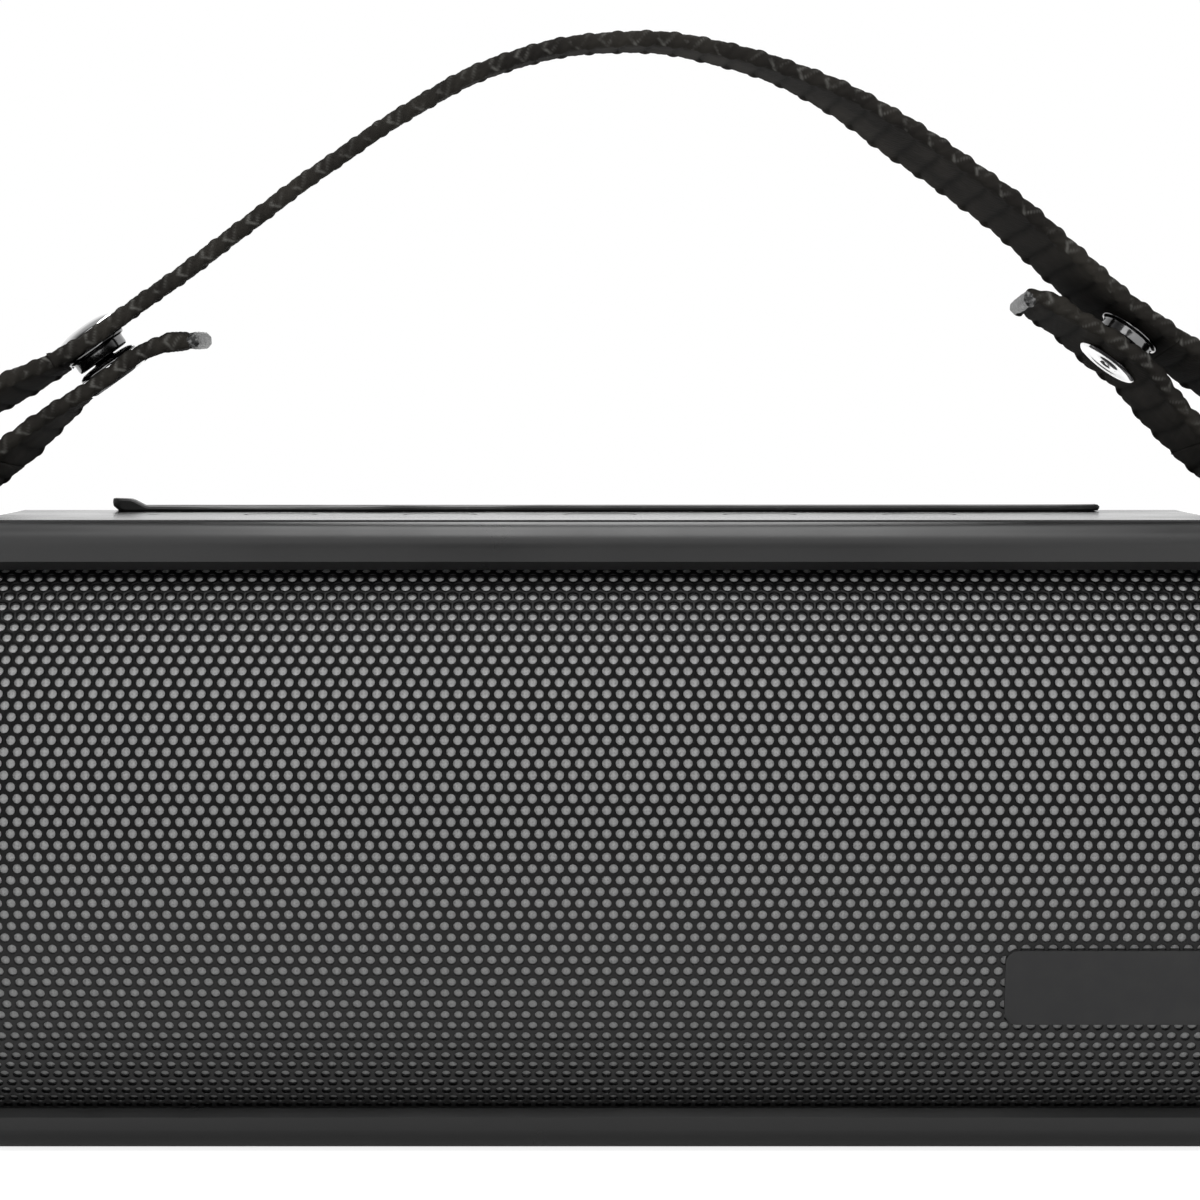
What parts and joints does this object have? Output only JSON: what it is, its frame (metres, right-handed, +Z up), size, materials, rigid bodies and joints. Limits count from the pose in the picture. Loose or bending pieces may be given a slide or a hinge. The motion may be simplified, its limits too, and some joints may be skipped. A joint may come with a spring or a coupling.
{
  "type": "portable shower speaker",
  "caption": "Portable water-resistant speaker: curved perforated grille, port flap, push buttons and a webbing carry strap held by snap fasteners.",
  "frame": {"origin": "bottom centre of the whole object, on the surface that the feet stand on", "axes": "+X right along the case, the grille faces -Y, +Z up"},
  "size_m": [0.2282, 0.08, 0.1689],
  "materials": {
    "case_black": "satin moulded, black",
    "deck_black": "fine satin texture",
    "grille_black": "gloss black powder coat",
    "cloth_grey": "plain light grey cloth",
    "badge_grey": "matte, no lettering",
    "rubber_black": "matte",
    "snap_steel": "nickel plated",
    "snap_dark": "black nickel",
    "steel": "zinc plated",
    "webbing": "heavy ribbed webbing",
    "inner_black": "moulded",
    "magnet": "sintered",
    "cone_paper": "pressed paper",
    "spider_cloth": "resin-stiffened cloth",
    "copper": "enamelled winding",
    "board": "solder mask",
    "cell_wrap": "shrink sleeve",
    "light_pipe": "frosted"
  },
  "bodies": {
    "root": {"front_frame": "case_black", "front_grille": "grille_black", "grille_cloth": "cloth_grey", "badge_plate": "badge_grey", "main_housing": "deck_black", "end_cap_left": "case_black", "end_cap_right": "case_black", "housing_gasket": "rubber_black", "strap_bar_left": "steel", "strap_bar_right": "steel", "rubber_feet": "rubber_black", "case_screws": "steel", "port_panel": "inner_black", "micro_usb_socket": "steel", "usb_socket": "steel", "aux_jack": "inner_black", "card_socket": "steel", "status_led": "light_pipe", "microphone": "steel", "flap_pin": "steel", "strap_loop_left": "webbing", "strap_loop_right": "webbing", "front_baffle": "inner_black", "driver_basket_left": "inner_black", "driver_basket_right": "inner_black", "driver_motor_left": "magnet", "driver_motor_right": "magnet", "driver_surround_left": "rubber_black", "driver_surround_right": "rubber_black", "driver_spider_left": "spider_cloth", "driver_spider_right": "spider_cloth", "radiator_frame": "inner_black", "radiator_surround": "rubber_black", "battery_cells": "cell_wrap", "battery_holder": "inner_black", "main_board": "board", "key_board": "board", "port_board": "board"},
    "port_flap_body": {"port_flap": "rubber_black"},
    "power_button_body": {"power_button": "deck_black"},
    "volume_down_body": {"volume_down_button": "deck_black"},
    "play_button_body": {"play_button": "deck_black"},
    "volume_up_body": {"volume_up_button": "deck_black"},
    "mode_button_body": {"mode_button": "deck_black"},
    "strap": {"strap_arch": "webbing", "snap_cap_left": "snap_steel", "snap_cap_right": "snap_steel", "snap_socket_left": "snap_dark", "snap_socket_right": "snap_dark"},
    "tail_left": {"strap_tail_left": "webbing", "snap_stud_left": "snap_dark", "snap_post_left": "snap_steel"},
    "tail_right": {"strap_tail_right": "webbing", "snap_stud_right": "snap_dark", "snap_post_right": "snap_steel"},
    "cone_left": {"driver_cone_left": "cone_paper", "voice_coil_left": "copper"},
    "cone_right": {"driver_cone_right": "cone_paper", "voice_coil_right": "copper"},
    "radiator": {"radiator_plate": "magnet"}
  },
  "joints": [
    {"name": "flap_hinge", "type": "hinge", "parent": "root", "child": "port_flap_body", "pos_m": [0, 0.0333, 0.0936], "axis": [-1, 0, 0], "range_deg": [0, 100]},
    {"name": "power_press", "type": "slide", "parent": "root", "child": "power_button_body", "axis": [0, 0, -1], "range_m": [0, 0.0006], "stiffness_N_per_m": 900, "springref_m": -0.0004},
    {"name": "volume_down_press", "type": "slide", "parent": "root", "child": "volume_down_body", "axis": [0, 0, -1], "range_m": [0, 0.0006], "stiffness_N_per_m": 900, "springref_m": -0.0004},
    {"name": "play_press", "type": "slide", "parent": "root", "child": "play_button_body", "axis": [0, 0, -1], "range_m": [0, 0.0006], "stiffness_N_per_m": 900, "springref_m": -0.0004},
    {"name": "volume_up_press", "type": "slide", "parent": "root", "child": "volume_up_body", "axis": [0, 0, -1], "range_m": [0, 0.0006], "stiffness_N_per_m": 900, "springref_m": -0.0004},
    {"name": "mode_press", "type": "slide", "parent": "root", "child": "mode_button_body", "axis": [0, 0, -1], "range_m": [0, 0.0006], "stiffness_N_per_m": 900, "springref_m": -0.0004},
    {"name": "strap_swing", "type": "hinge", "parent": "root", "child": "strap", "pos_m": [0, 0, 0.098], "axis": [1, 0, 0], "range_deg": [-28, 28], "deforming": ["strap_loop_left", "strap_loop_right"]},
    {"name": "tail_left_open", "type": "hinge", "parent": "strap", "child": "tail_left", "pos_m": [-0.092, 0, 0.1033], "axis": [0, 1, 0], "range_deg": [0, 18]},
    {"name": "tail_right_open", "type": "hinge", "parent": "strap", "child": "tail_right", "pos_m": [0.092, 0, 0.106], "axis": [0, -1, 0], "range_deg": [0, 18]},
    {"name": "cone_left_travel", "type": "slide", "parent": "root", "child": "cone_left", "axis": [0, -1, 0], "range_m": [-0.0015, 0.0015], "stiffness_N_per_m": 900, "deforming": ["driver_surround_left", "driver_spider_left"]},
    {"name": "cone_right_travel", "type": "slide", "parent": "root", "child": "cone_right", "axis": [0, -1, 0], "range_m": [-0.0015, 0.0015], "stiffness_N_per_m": 900, "deforming": ["driver_surround_right", "driver_spider_right"]},
    {"name": "radiator_travel", "type": "slide", "parent": "root", "child": "radiator", "axis": [0, -1, 0], "range_m": [-0.002, 0.002], "stiffness_N_per_m": 400, "deforming": ["radiator_surround"]}
  ]
}
